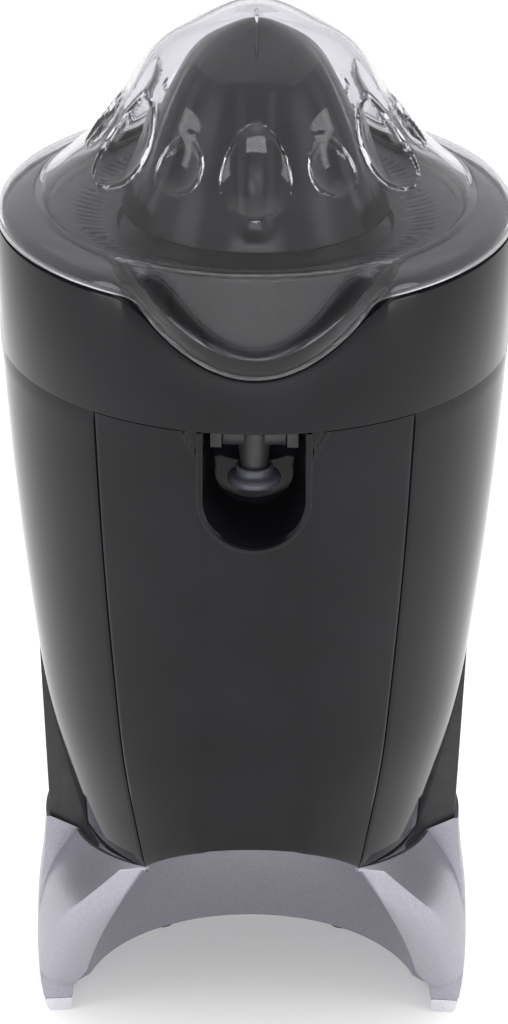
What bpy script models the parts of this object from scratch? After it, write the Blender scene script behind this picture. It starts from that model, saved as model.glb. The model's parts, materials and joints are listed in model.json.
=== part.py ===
"""Citrus press juicer: a clear dust cover over a ribbed cone, strainer and juice bowl with a
tilting spout, on a tapered body with a shaded pole motor and a two stage gear train, on a
silver arched base.

Lengths are in millimetres and are scaled to metres when a mesh is made. The origin is on the
table below the drive axis, +Z is up and the front faces -Y. Azimuths are in degrees from the
front, positive towards +X.
"""
import math

import bmesh
import bpy
from mathutils import Matrix, Vector

MM = 0.001
GAP = 0.3  # running gap between two pieces that touch

# Driving dimensions
BOWL_R = 70.0  # widest radius, at the bowl
BODY_TOP = 210.6  # top edge of the panels
BOWL_BOTTOM = 211.0
BOWL_EDGE = 245.8  # outer top edge of the bowl
BOWL_RIM = 250.3  # top of the bowl's inner wall
COVER_TOP = 306.0
WALL = 2.2  # thickness of the body's mouldings
COVER_WALL = 1.6
PANEL_SEAM = 38.0  # azimuth of the seams beside the front panel
SPLIT_Y = -6.0  # front face of the rear cover
SEAM_HALF = 0.15  # half of the seam beside the front panel, in degrees
SHARP_ANGLE = 35.0  # edges sharper than this stay crisp when shaded
GLAND_Z = 76.0
BOTTOM_PLATE_Z = 75.0
SCREW_R = 1.5
SCREW_HEAD_R = 2.8
SCREW_HOLE_R = 1.9

# Bowl, strainer and cones
INNER_WALL_R = 58.2
COLLAR_R = 12.7
STRAINER_R = 55.7
STRAINER_SLOTS = 16
SCOOP_LOW = 228.6  # lowest point of the cover's front tongue
SCOOP_CURVE = 0.0198  # rise of the tongue per square millimetre of distance from the middle
CONE_BASE = 248.5
CONE_APEX = 301.0
CONE_RIB_DEPTH = 0.03  # of the cone's radius

# Spout, hinged under the bowl
SPOUT_Y = -52.5
SPOUT_Z = 205.9
SPOUT_BORE_R = 2.4
SPOUT_PIN_R = 1.4
SPOUT_PIN_HOLE_R = SPOUT_PIN_R + GAP
RECESS_R = 14.2
RECESS_CENTRE_Z = 190.5
RECESS_BACK_Y = -42.0

# Base stand
BASE_BOTTOM = 0.8
BASE_STEP = 50.0
BASE_RIM = 57.5
TOE_AZIMUTH = 84.0
TOE_END = 98.0
TOE_CAP_HEIGHT = 4.0
TOE_INSET = 3.2  # how much the wall thins from inside at a toe
REAR_FOOT_AZIMUTH = 150.0

# Gear train: two stages of 10 to 40 teeth on the same centre distance
MODULE = 0.8
GEAR_TEETH = 40
PINION_TEETH = 10
CENTRE_DISTANCE = MODULE * (GEAR_TEETH + PINION_TEETH) / 2
SHAFT_R = 4.0
ROTOR_SHAFT_R = 2.0
IDLER_PIN_R = 1.4
HOUSING_R = 39.5
LOWER_FLOOR = 134.0
MID_PLATE = 150.3
CARRIAGE_Z = 160.9
LEVER_Z = 159.0  # hinge height of the switch's lever
OUTPUT_GEAR_Z = 164.6
IDLER_GEAR_Z = 139.5
SPRING_WIRE_R = 0.6
SPRING_R = 6.2
SPRING_TURNS = 4.5

# Motor
STACK_LOW = 100.0
STACK_HIGH = 122.0
ROTOR_R = 12.0
MOTOR_BOLT_X = 19.0
FAN_BLADES = 7


# ---------------------------------------------------------------- scene and materials

def clear_scene():
    for obj in list(bpy.data.objects):
        bpy.data.objects.remove(obj, do_unlink=True)


def make_collection(name):
    collection = bpy.data.collections.new(name)
    bpy.context.scene.collection.children.link(collection)
    return collection


def make_material(name, colour, roughness, metallic=0.0, transmission=0.0):
    material = bpy.data.materials.new(name)
    material.use_nodes = True
    shader = material.node_tree.nodes["Principled BSDF"]
    shader.inputs["Base Color"].default_value = (*colour, 1.0)
    shader.inputs["Roughness"].default_value = roughness
    shader.inputs["Metallic"].default_value = metallic
    shader.inputs["Transmission Weight"].default_value = transmission
    return material


def make_materials():
    return {
        "gloss_black": make_material("gloss_black", (0.012, 0.012, 0.014), 0.12),
        "matte_black": make_material("matte_black", (0.035, 0.035, 0.038), 0.5),
        "smoked_cone": make_material("smoked_cone", (0.02, 0.02, 0.022), 0.15),
        "clear": make_material("clear", (0.95, 0.95, 0.97), 0.05, transmission=0.9),
        "silver": make_material("silver", (0.55, 0.54, 0.58), 0.35, metallic=0.6),
        "silicone": make_material("silicone", (0.75, 0.77, 0.79), 0.45),
        "rubber": make_material("rubber", (0.03, 0.03, 0.03), 0.8),
        "steel": make_material("steel", (0.6, 0.6, 0.6), 0.3, metallic=1.0),
        "lamination": make_material("lamination", (0.25, 0.25, 0.27), 0.5, metallic=0.8),
        "copper": make_material("copper", (0.75, 0.35, 0.18), 0.35, metallic=1.0),
        "bronze": make_material("bronze", (0.6, 0.42, 0.2), 0.4, metallic=1.0),
        "nylon": make_material("nylon", (0.85, 0.84, 0.8), 0.5),
    }


# ---------------------------------------------------------------- geometry helpers

def polar(radius, azimuth, z):
    angle = math.radians(azimuth)
    return Vector((radius * math.sin(angle), -radius * math.cos(angle), z))


def smooth_curve(points):
    """A function through (x, y) points, with Hermite slopes from the neighbouring points."""
    xs = [p[0] for p in points]
    ys = [p[1] for p in points]
    last = len(xs) - 1
    slopes = []
    for i in range(len(xs)):
        low, high = max(i - 1, 0), min(i + 1, last)
        slopes.append((ys[high] - ys[low]) / (xs[high] - xs[low]))

    def value(x):
        x = min(max(x, xs[0]), xs[-1])
        i = 0
        while i < last - 1 and x > xs[i + 1]:
            i += 1
        width = xs[i + 1] - xs[i]
        t = (x - xs[i]) / width
        start = ys[i] * (1 + 2 * t) * (1 - t) ** 2 + slopes[i] * width * t * (1 - t) ** 2
        end = ys[i + 1] * t * t * (3 - 2 * t) + slopes[i + 1] * width * t * t * (t - 1)
        return start + end
    return value


def steps(start, end, count):
    """count + 1 evenly spaced values from start to end."""
    return [start + (end - start) * i / count for i in range(count + 1)]


def add_object(name, mesh, collection):
    obj = bpy.data.objects.new(name, mesh)
    collection.objects.link(obj)
    return obj


def mesh_from_bmesh(name, bm, smooth=True):
    bmesh.ops.recalc_face_normals(bm, faces=bm.faces)
    mesh = bpy.data.meshes.new(name)
    bm.to_mesh(mesh)
    bm.free()
    if smooth:
        mesh.shade_smooth()
        mesh.set_sharp_from_angle(angle=math.radians(SHARP_ANGLE))
    return mesh


def lathe(name, profile, collection, count=32, closed=True, centre=(0, 0), axis="Z"):
    """A turned piece. The profile runs down its outer side, as (radius, height) points."""
    mesh = bpy.data.meshes.new(name)
    edges = [(i, i + 1) for i in range(len(profile) - 1)]
    if closed:
        edges.append((len(profile) - 1, 0))
    mesh.from_pydata([(r * MM, 0, z * MM) for r, z in profile], edges, [])
    obj = add_object(name, mesh, collection)
    obj.location = (centre[0] * MM, centre[1] * MM, 0)
    screw = obj.modifiers.new("Turn", "SCREW")
    screw.angle = 2 * math.pi
    screw.steps = count
    screw.render_steps = count
    screw.use_merge_vertices = True
    screw.merge_threshold = 0.00001
    if axis == "Y":
        obj.rotation_euler = (-math.pi / 2, 0, 0)
    return obj


def ring_profile(inner, outer, low, high):
    return [(outer, high), (outer, low), (inner, low), (inner, high)]


def rod_profile(radius, low, high):
    return [(0, high), (radius, high), (radius, low), (0, low)]


def loft(name, sections, collection, around=False):
    """A solid through closed sections that all have the same number of points."""
    bm = bmesh.new()
    rings = [[bm.verts.new(p * MM) for p in section] for section in sections]
    size = len(rings[0])
    last = len(rings) if around else len(rings) - 1
    for i in range(last):
        a, b = rings[i], rings[(i + 1) % len(rings)]
        for j in range(size):
            k = (j + 1) % size
            bm.faces.new((a[j], a[k], b[k], b[j]))
    if not around:
        bm.faces.new(rings[0])
        bm.faces.new(rings[-1][::-1])
    return add_object(name, mesh_from_bmesh(name, bm), collection)


def shell(name, rows, thickness, collection, around=False, pole=None):
    """An open sheet through rows of points, thickened towards the inside of the object."""
    bm = bmesh.new()
    grid = [[bm.verts.new(p * MM) for p in row] for row in rows]
    size = len(grid[0])
    for upper, lower in zip(grid, grid[1:]):
        for j in range(size if around else size - 1):
            k = (j + 1) % size
            bm.faces.new((lower[j], lower[k], upper[k], upper[j]))
    if pole is not None:
        tip = bm.verts.new(pole * MM)
        for j in range(size):
            bm.faces.new((grid[0][j], grid[0][(j + 1) % size], tip))
    mesh = bpy.data.meshes.new(name)
    bm.to_mesh(mesh)
    bm.free()
    mesh.shade_smooth()
    mesh.set_sharp_from_angle(angle=math.radians(SHARP_ANGLE))
    obj = add_object(name, mesh, collection)
    solidify = obj.modifiers.new("Wall", "SOLIDIFY")
    solidify.thickness = thickness * MM
    solidify.offset = -1
    solidify.use_even_offset = True
    return obj


def plate(name, outlines, low, high, collection, plane="XY"):
    """A flat piece from an outline and its holes, between two levels along its normal."""
    curve = bpy.data.curves.new(name, "CURVE")
    curve.dimensions = "2D"
    curve.fill_mode = "BOTH"
    curve.extrude = (high - low) / 2 * MM
    for outline in outlines:
        spline = curve.splines.new("POLY")
        spline.points.add(len(outline) - 1)
        for point, (x, y) in zip(spline.points, outline):
            point.co = (x * MM, y * MM, 0, 1)
        spline.use_cyclic_u = True
    source = add_object(name + "_outline", curve, collection)
    middle = (high + low) / 2 * MM
    if plane == "XY":
        source.location = (0, 0, middle)
    elif plane == "XZ":
        source.rotation_euler = (math.pi / 2, 0, 0)
        source.location = (0, middle, 0)
    bpy.context.view_layer.update()
    graph = bpy.context.evaluated_depsgraph_get()
    mesh = bpy.data.meshes.new_from_object(source.evaluated_get(graph))
    bm = bmesh.new()
    bm.from_mesh(mesh)
    bmesh.ops.remove_doubles(bm, verts=bm.verts, dist=0.00001)
    bmesh.ops.recalc_face_normals(bm, faces=bm.faces)
    bm.to_mesh(mesh)
    bm.free()
    obj = add_object(name, mesh, collection)
    obj.matrix_world = source.matrix_world.copy()
    bpy.data.objects.remove(source, do_unlink=True)
    return obj


def box(name, low, high, collection):
    bm = bmesh.new()
    size = Vector(high) - Vector(low)
    centre = (Vector(high) + Vector(low)) / 2
    matrix = Matrix.Translation(centre * MM) @ Matrix.Diagonal((*(size * MM), 1))
    bmesh.ops.create_cube(bm, size=1, matrix=matrix)
    return add_object(name, mesh_from_bmesh(name, bm, smooth=False), collection)


def cylinder(name, radius, low, high, collection, centre=(0, 0), count=24, axis="Z"):
    """A cylinder along Z, or along X with centre giving its Y and Z."""
    bm = bmesh.new()
    middle = (low + high) / 2
    if axis == "Z":
        matrix = Matrix.Translation(Vector((centre[0], centre[1], middle)) * MM)
    else:
        matrix = Matrix.Translation(Vector((middle, centre[0], centre[1])) * MM)
        matrix = matrix @ Matrix.Rotation(math.pi / 2, 4, "Y")
    bmesh.ops.create_cone(bm, cap_ends=True, segments=count, radius1=radius * MM,
                          radius2=radius * MM, depth=(high - low) * MM, matrix=matrix)
    return add_object(name, mesh_from_bmesh(name, bm), collection)


def cut(target, cutter, operation="DIFFERENCE"):
    cutter.hide_render = True
    cutter.display_type = "WIRE"
    boolean = target.modifiers.new("Cut", "BOOLEAN")
    boolean.operation = operation
    boolean.object = cutter


def circle(radius, centre=(0, 0), count=24):
    points = []
    for i in range(count):
        angle = 2 * math.pi * i / count
        points.append((centre[0] + radius * math.cos(angle), centre[1] + radius * math.sin(angle)))
    return points


def rectangle(x_low, x_high, y_low, y_high):
    return [(x_low, y_low), (x_high, y_low), (x_high, y_high), (x_low, y_high)]


def gear_outline(teeth, centre=(0, 0)):
    """Straight-sided teeth with backlash, one tooth pointing along +X."""
    pitch_r = MODULE * teeth / 2
    root = pitch_r - 1.3 * MODULE
    tip = pitch_r + 0.95 * MODULE
    root_half = 0.95 * MODULE / root
    tip_half = 0.3 * MODULE / tip
    points = []
    for i in range(teeth):
        middle = 2 * math.pi * i / teeth
        for radius, offset in ((root, -root_half), (tip, -tip_half), (tip, tip_half),
                               (root, root_half)):
            angle = middle + offset
            points.append((centre[0] + radius * math.cos(angle),
                           centre[1] + radius * math.sin(angle)))
    return points


# ---------------------------------------------------------------- outer surfaces

cup_radius = smooth_curve([(50, 43.5), (61, 47.0), (72, 50.2), (83, 53.0), (101, 57.2), (121, 60.2),
                           (148, 63.5), (184, 67.0), (211, 69.0)])
cover_height = smooth_curve([(0, COVER_TOP), (5.6, 305.2), (11.2, 302.7), (16.8, 299.3),
                             (22.4, 296.0), (28.0, 291.7), (32.2, 286.1), (36.4, 278.7),
                             (40.6, 272.4), (44.8, 266.9), (50.4, 261.0), (56.0, 255.8),
                             (59.4, 253.0)])
cone_radius = smooth_curve([(248.5, 36.0), (251, 35.4), (256.5, 33.9), (261, 32.0), (269.6, 29.2),
                            (276.8, 26.4), (286, 21.8), (292.5, 17.0), (297, 11.2), (299.8, 5.8)])
front_base_radius = smooth_curve([(0, 59.0), (10, 60.6), (25, 61.3), (33, 61.1), (41, 60.0),
                                  (50, 57.0), (58, 51.8), (65, 47.2)])
rear_base_radius = smooth_curve([(0, 59.0), (10, 60.6), (25, 61.3), (33, 61.1), (41, 60.7),
                                 (52, 59.4), (57.5, 58.5)])


def rear_radius(z):
    """The rear cover follows the cup, then drops almost straight down to the base."""
    return max(cup_radius(z), 57.2 + (z - 60) * 0.045)


def front_edge(azimuth):
    """Lower edge of the front panel, arched over the opening in the base."""
    return 77.5 - 0.0087 * azimuth ** 2


def side_edge(azimuth):
    """Lower edge of a side panel."""
    return 65.0 - 0.1 * (azimuth - PANEL_SEAM)


def arch_edge(azimuth):
    """Lower edge of the base's wall: the front arch, the toes, then the rear wall."""
    if azimuth < TOE_AZIMUTH:
        slope = (64.0 - TOE_CAP_HEIGHT - 3.0) / (TOE_AZIMUTH - 39)
        return max(64.0 - slope * (azimuth - 39), TOE_CAP_HEIGHT + 3.0)
    if azimuth < TOE_END + 0.3:
        return TOE_CAP_HEIGHT + GAP
    return BASE_BOTTOM


def inner_base_radius(z):
    return 48.5 - 2.2 * z / 64


def toe_inset(azimuth):
    """How far the foot of the wall is set out from its inner radius, near the toes."""
    away = max(TOE_AZIMUTH - azimuth, azimuth - TOE_END - 0.5, 0.0)
    return TOE_INSET * max(1 - away / 7.0, 0.0)


def scoop_height(x):
    return SCOOP_LOW + SCOOP_CURVE * x * x


# ---------------------------------------------------------------- body shells

def make_front_panel(parts, cutters):
    rows = []
    for t in steps(1, 0, 9):
        row = []
        for azimuth in steps(-PANEL_SEAM + SEAM_HALF, PANEL_SEAM - SEAM_HALF, 12):
            low = front_edge(azimuth)
            z = low + (BODY_TOP - low) * t
            row.append(polar(cup_radius(z), azimuth, z))
        rows.append(row)
    panel = shell("front_panel", rows, WALL, parts)
    cut(panel, recess_solid("recess_cutter", RECESS_R, -75, -50, cutters))
    return panel


def recess_outline(radius):
    """The U of the spout recess, in X and Z, open at the top."""
    outline = [(radius, BODY_TOP + 6), (-radius, BODY_TOP + 6)]
    for angle in steps(180, 360, 14):
        x = radius * math.cos(math.radians(angle))
        z = RECESS_CENTRE_Z + radius * math.sin(math.radians(angle))
        outline.append((x, z))
    return outline


def recess_solid(name, radius, low_y, high_y, collection):
    return plate(name, [recess_outline(radius)], low_y, high_y, collection, plane="XZ")


def make_recess_liner(parts, cutters):
    liner = recess_solid("recess_liner", RECESS_R - GAP, -66.0, RECESS_BACK_Y, parts)
    cut(liner, recess_solid("liner_cutter", RECESS_R - 1.8, -75, RECESS_BACK_Y - 2, cutters))
    cut(liner, box("liner_trim", (-20, -75, BODY_TOP - 0.4), (20, -30, BODY_TOP + 12), cutters))
    return liner


def make_side_panel(name, side, parts):
    rows = []
    for t in steps(1, 0, 9):
        row = []
        for s in steps(0, 1, 6):
            low = side_edge(PANEL_SEAM + s * 44)
            z = low + (BODY_TOP - low) * t
            radius = cup_radius(z)
            end = math.degrees(math.acos((-SPLIT_Y + 2 * GAP) / radius))
            azimuth = PANEL_SEAM + SEAM_HALF + (end - PANEL_SEAM - SEAM_HALF) * s
            row.append(polar(radius, side * azimuth, z))
        rows.append(row if side > 0 else row[::-1])
    return shell(name, rows, WALL, parts)


def make_rear_cover(parts, cutters):
    rows = []
    for z in (BODY_TOP, 190, 168, 146, 128, 115, 98, 80, 61, BASE_STEP + GAP):
        radius = rear_radius(z)
        flange_x = math.sqrt(cup_radius(max(z, 61)) ** 2 - SPLIT_Y ** 2) - 3.2
        start = math.degrees(math.acos(-SPLIT_Y / radius))
        row = [Vector((flange_x, SPLIT_Y, z))]
        row += [polar(radius, azimuth, z) for azimuth in steps(start, 360 - start, 20)]
        row.append(Vector((-flange_x, SPLIT_Y, z)))
        rows.append(row)
    cover = shell("rear_cover", rows, WALL, parts)
    hole = lathe("gland_cutter", rod_profile(4.0, 40, 70), cutters, 16, closed=False, axis="Y")
    hole.location = (0, 0, GLAND_Z * MM)
    cut(cover, hole)
    return cover


def make_cord_gland(parts):
    profile = [(6.0, 62.6), (6.0, 58.9), (3.7, 58.7), (3.7, 52.0), (2.9, 52.0), (2.9, 62.6)]
    gland = lathe("cord_gland", profile, parts, 16, axis="Y")
    gland.location = (0, 0, GLAND_Z * MM)
    return gland


def make_top_deck(parts, cutters):
    profile = [(10.9, 226), (10.9, 210.2), (64.6, 210.2), (64.6, 207.6), (8.6, 207.6), (8.6, 226)]
    deck = lathe("top_deck", profile, parts, 32)
    cut(deck, box("deck_notch", (-15, -80, 200), (15, RECESS_BACK_Y + 0.4, 220), cutters))
    for i in range(3):
        x, y, _ = polar(52, 60 + 120 * i, 0)
        hole = cylinder("deck_hole_%d" % (i + 1), SCREW_HOLE_R, 205, 213, cutters, (x, y), 12)
        cut(deck, hole)
        profile = [(0, 212.2), (SCREW_HEAD_R, 211.6), (SCREW_HEAD_R, 210.5), (SCREW_R, 210.5),
                   (SCREW_R, 200), (0, 200)]
        lathe("deck_screw_%d" % (i + 1), profile, parts, 12, closed=False, centre=(x, y))
    return deck


def make_bottom_plate(parts, cutters):
    outlines = [circle(45.2, count=32)]
    for i in range(8):
        angle = 2 * math.pi * (i + 0.5) / 8
        direction = Vector((math.cos(angle), math.sin(angle)))
        across = Vector((-direction.y, direction.x)) * 1.5
        ends = (direction * 16 - across, direction * 34 - across, direction * 34 + across,
                direction * 16 + across)
        outlines.append([tuple(p) for p in ends])
    for i in range(3):
        x, y, _ = polar(40, 60 + 120 * i, 0)
        outlines.append(circle(SCREW_HOLE_R, (x, y), 12))
        head = BOTTOM_PLATE_Z - GAP
        profile = [(0, head + 11), (SCREW_R, head + 11), (SCREW_R, head), (SCREW_HEAD_R, head),
                   (SCREW_HEAD_R, head - 1.1), (0, head - 1.7)]
        lathe("bottom_screw_%d" % (i + 1), profile, parts, 12, closed=False, centre=(x, y))
    return plate("bottom_plate", outlines, BOTTOM_PLATE_Z, BOTTOM_PLATE_Z + 2, parts)


# ---------------------------------------------------------------- base stand

def base_section(azimuth):
    """Closed section of the base's wall at an azimuth from the front, as (radius, height)."""
    rear = azimuth > 82.2
    radius_at = rear_base_radius if rear else front_base_radius
    top = BASE_RIM if rear else side_edge(azimuth) - 0.4
    bottom = min(arch_edge(azimuth), top - 1.6)
    in_arch = azimuth < TOE_AZIMUTH
    round_height = min(9.0, 0.8 * (top - bottom)) if in_arch else 1.5
    inset = toe_inset(azimuth)
    inner = inner_base_radius(bottom) + inset
    edge = radius_at(bottom + round_height)
    round_width = 0.75 * (edge - inner) if in_arch else 1.5
    points = [(radius_at(z), z) for z in steps(top, bottom + round_height, 6)]
    for angle in (30, 60, 90):
        r = edge - round_width * (1 - math.cos(math.radians(angle)))
        z = bottom + round_height * (1 - math.sin(math.radians(angle)))
        points.append((r, z))
    points.append((inner, bottom))
    inner_top = BASE_STEP if rear else top
    for t in (0.35, 0.7):
        z = bottom + (inner_top - bottom) * t
        points.append((inner_base_radius(z) + inset * (1 - t), z))
    if rear:
        points += [(46.6, BASE_STEP), (BASE_RIM, BASE_STEP), (BASE_RIM, BASE_RIM)]
    else:
        wall = min(1.5, radius_at(top) - inner_base_radius(top))
        points += [(radius_at(top) - wall, top - 0.3), (radius_at(top) - wall + 0.2, top - 0.15),
                   (radius_at(top) - wall + 0.4, top)]
    return points


def make_base_stand(parts, cutters):
    front = steps(PANEL_SEAM + 0.3, 82.0, 11) + [82.35, 83.6, TOE_AZIMUTH, 91, TOE_END + 0.2,
                                                 TOE_END + 0.5]
    rear = steps(105, 180, 7)
    half = front + rear
    azimuths = half + [360 - a for a in half[-2::-1]]
    sections = []
    for azimuth in azimuths:
        local = azimuth if azimuth <= 180 else 360 - azimuth
        sections.append([polar(r, azimuth, z) for r, z in base_section(local)])
    stand = loft("base_stand", sections, parts)
    for i, (start, end) in enumerate(((106, 140), (160, 200), (220, 254))):
        pocket = []
        for azimuth in steps(start, end, 5):
            corners = ((51.0, -1), (57.3, -1), (57.3, 44), (51.0, 44))
            pocket.append([polar(r, azimuth, z) for r, z in corners])
        cut(stand, loft("base_pocket_%d" % (i + 1), pocket, cutters))
    for name, azimuth in (("rear_foot_left", 360 - REAR_FOOT_AZIMUTH),
                          ("rear_foot_right", REAR_FOOT_AZIMUTH)):
        x, y, _ = polar(54.0, azimuth, 0)
        cut(stand, cylinder(name + "_pocket", 4.4, -2, 3.2, cutters, (x, y), 20))
        cylinder(name, 4.0, 0, 2.9, parts, (x, y), 20)
    return stand


def make_toe_cap(name, side, parts):
    """The bright foot under the front end of the base's wall."""
    sections = []
    for azimuth in steps(TOE_AZIMUTH + 0.3, TOE_END, 4):
        outline = ((52.0, 0), (58.0, 0), (59.0, 1.2), (59.6, TOE_CAP_HEIGHT), (51.8, TOE_CAP_HEIGHT))
        sections.append([polar(r, side * azimuth, z) for r, z in outline])
    return loft(name, sections, parts)


# ---------------------------------------------------------------- bowl, strainer, cones, cover

def front_scoop(radius, azimuth, level, depth=0.0):
    """Height of a surface at this radius, dipped where the front scoop passes below it.

    depth is how far the surface lies under the scoop, measured square to it.
    """
    if math.cos(math.radians(azimuth)) < 0.3:
        return level
    x = radius * math.sin(math.radians(azimuth))
    lean = math.sqrt(1 + (2 * SCOOP_CURVE * x) ** 2)
    return min(level, scoop_height(x) - depth * lean)


def ring_azimuths():
    """Azimuths round the bowl, closer together over the front scoop."""
    front = steps(-40, 40, 16)
    return front + steps(45, 315, 18)


def make_juice_bowl(parts, cutters):
    depth = COVER_WALL + 0.4
    sections = []
    for azimuth in ring_azimuths():
        edge = front_scoop(BOWL_R, azimuth, BOWL_EDGE, depth)
        shoulder = front_scoop(68, azimuth, BOWL_EDGE + 0.4, depth)
        web = front_scoop(59, azimuth, 249.3, depth)
        points = [(69.3, BOWL_BOTTOM), (BOWL_R, edge), (68, shoulder), (59.1, web),
                  (INNER_WALL_R, web + 0.5), (INNER_WALL_R, BOWL_RIM), (56.6, BOWL_RIM), (55.7, 221),
                  (53.6, 216.2), (16.5, 218.0), (14.5, 236), (COLLAR_R, 236), (COLLAR_R, 214),
                  (55.9, 214), (57.8, 216), (57.8, web - 2.2), (67.6, edge - 2.0),
                  (67.2, BOWL_BOTTOM)]
        sections.append([polar(r, azimuth, z) for r, z in points])
    bowl = loft("juice_bowl", sections, parts, around=True)
    cut(bowl, cylinder("outlet_cutter", SPOUT_BORE_R, 205, 225, cutters, (0, SPOUT_Y), 16))
    return bowl


def make_strainer(parts, cutters):
    profile = [(STRAINER_R, 248.9), (STRAINER_R - 0.3, 246.9), (54.3, 246.0), (38.4, 242.6),
               (37.8, 240.2), (14.9, 240.2), (14.9, 245.5), (16.4, 245.5), (16.4, 241.7),
               (36.5, 241.7), (37.2, 244.0), (53.7, 247.6), (54.3, 248.9)]
    strainer = lathe("strainer", profile, parts, 32)
    for i in range(STRAINER_SLOTS):
        name = "slot_%d" % (i + 1)
        slot = box(name, (-0.9, -52, 235), (0.9, -41.5, 255), cutters)
        slot.rotation_euler = (0, 0, 2 * math.pi * (i + 0.5) / STRAINER_SLOTS)
        cut(strainer, slot)
    return strainer


def make_large_cone(parts):
    rows = []
    for z in (299.0, 296.0, 291.0, 282, 271, 259, 252.5, 250.0, CONE_BASE):
        row = []
        for j in range(24):
            azimuth = 15.0 * j
            rib = 0.5 + 0.5 * math.cos(math.radians(6 * azimuth))
            depth = CONE_RIB_DEPTH if z > 251 else 0.0
            row.append(polar(cone_radius(z) * (1 - depth * (1 - rib)), azimuth, z))
        rows.append(row)
    return shell("large_cone", rows, 1.7, parts, around=True, pole=Vector((0, 0, CONE_APEX)))


def make_small_cone(parts):
    profile = [(0, 288.5), (7, 286.3), (14, 280.5), (19.5, 271), (23.2, 260), (25.5, 250.3),
               (32.0, 250.3), (32.0, CONE_BASE), (23.6, CONE_BASE), (21.3, 260), (17.8, 269.5),
               (12.5, 278), (8.4, 281.2), (8.4, 262), (5.9, 262), (5.9, 283.5), (0, 283.5)]
    return lathe("small_cone", profile, parts, 20, closed=False)


def make_dust_cover(parts):
    rows = []
    azimuths = ring_azimuths()
    for r in (6.5, 13, 20, 27, 33, 39, 46, 53, 57.4):
        rows.append([polar(r, a, cover_height(r)) for a in azimuths])
    rows.append([polar(60.1, a, 252.4) for a in azimuths])
    flange = ((60.2, 252.3), (65, 251.4), (68.4, 250.2), (69.6, 248.9), (BOWL_R, 246.8))
    for r, z in flange:
        rows.append([polar(r, a, front_scoop(r, a, z)) for a in azimuths])
    return shell("dust_cover", rows, COVER_WALL, parts, around=True,
                 pole=Vector((0, 0, COVER_TOP)))


# ---------------------------------------------------------------- spout

def make_spout(parts, cutters):
    outline = [(-11.6, 213.7), (11.6, 213.7), (11.6, 202), (8.7, 202), (8.7, 211.2), (-8.7, 211.2),
               (-8.7, 202), (-11.6, 202)]
    bracket = plate("spout_bracket", [outline], SPOUT_Y - 4.5, SPOUT_Y + 4.5, parts, plane="XZ")
    cut(bracket, cylinder("bracket_bore", SPOUT_BORE_R, 205, 220, cutters, (0, SPOUT_Y), 16))
    cut(bracket, cylinder("bracket_pin_hole", SPOUT_PIN_HOLE_R, -20, 20, cutters,
                          (SPOUT_Y, SPOUT_Z), 16, "X"))

    tube_profile = [(0, 207), (4.4, 207), (4.2, 200), (3.6, 195), (3.6, 190.6), (0, 190.6)]
    tube = lathe("spout_tube", tube_profile, parts, 24, closed=False, centre=(0, SPOUT_Y))
    cut(tube, cylinder("barrel", 4.7, -8.4, 8.4, cutters, (SPOUT_Y, SPOUT_Z), 24, "X"), "UNION")
    cut(tube, cylinder("tube_bore", SPOUT_BORE_R, 185, 215, cutters, (0, SPOUT_Y), 16))
    for side, name in ((-1, "left"), (1, "right")):
        low, high = sorted((side * 5.2, side * 9.5))
        hole = cylinder("barrel_hole_" + name, SPOUT_PIN_HOLE_R, low, high, cutters,
                        (SPOUT_Y, SPOUT_Z), 16, "X")
        cut(tube, hole)
        low, high = sorted((side * 5.5, side * 11.6))
        cylinder("spout_pin_" + name, SPOUT_PIN_R, low, high, parts, (SPOUT_Y, SPOUT_Z), 16, "X")

    tip_profile = [(5.0, 195.2), (5.0, 192.5), (6.6, 192.5), (7.2, 191.8), (6.8, 190.2), (3.9, 190.2),
                   (3.9, 195.2)]
    lathe("spout_tip", tip_profile, parts, 20, centre=(0, SPOUT_Y))


# ---------------------------------------------------------------- gear train

def make_gearbox(parts):
    wall = HOUSING_R - 2
    low = LOWER_FLOOR
    base = [(HOUSING_R, MID_PLATE - GAP), (HOUSING_R, low), (3.0, low), (3.0, low + 2.5),
            (wall, low + 2.5), (wall, MID_PLATE - GAP)]
    lathe("gearbox_base", base, parts, 28)
    holes = [circle(2.5, count=16), circle(6.0, (0, CENTRE_DISTANCE), 20)]
    plate("gearbox_mid_plate", [circle(HOUSING_R, count=28)] + holes, MID_PLATE, MID_PLATE + 2, parts)
    top = 180.5
    cover = [(HOUSING_R, top), (HOUSING_R, MID_PLATE + 2.3), (wall, MID_PLATE + 2.3),
             (wall, top - 2.5), (7.1, top - 2.5), (7.1, top)]
    lathe("gearbox_cover", cover, parts, 28)
    lathe("lower_bush", ring_profile(SHAFT_R + GAP, 6.8, 175.5, 183), parts, 20)
    lathe("upper_bush", ring_profile(SHAFT_R + GAP, 8.3, 208, 218.5), parts, 20)
    lathe("shaft_seal", ring_profile(SHAFT_R + GAP, 8.3, 219, 225.5), parts, 20)


def make_idler(parts):
    centre = (0, CENTRE_DISTANCE)
    bore = circle(IDLER_PIN_R + GAP, centre, 12)
    top = IDLER_GEAR_Z + 5
    plate("idler_gear", [gear_outline(GEAR_TEETH, centre), bore], IDLER_GEAR_Z, top, parts)
    plate("idler_pinion", [gear_outline(PINION_TEETH, centre), bore], top + GAP, 172, parts)
    pin = rod_profile(IDLER_PIN_R, LOWER_FLOOR + 2.8, 177.6)
    lathe("idler_pin", pin, parts, 12, closed=False, centre=centre)


def make_output(parts, cutters):
    gear = [gear_outline(GEAR_TEETH), circle(SHAFT_R + GAP, count=20)]
    plate("output_gear", gear, OUTPUT_GEAR_Z, OUTPUT_GEAR_Z + 6, parts)
    low = OUTPUT_GEAR_Z
    shaft = lathe("drive_shaft", rod_profile(SHAFT_R, low, 262), parts, 20, closed=False)
    cut(shaft, cylinder("hex_head", 5.2, 255, 281, cutters, count=6), "UNION")


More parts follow.
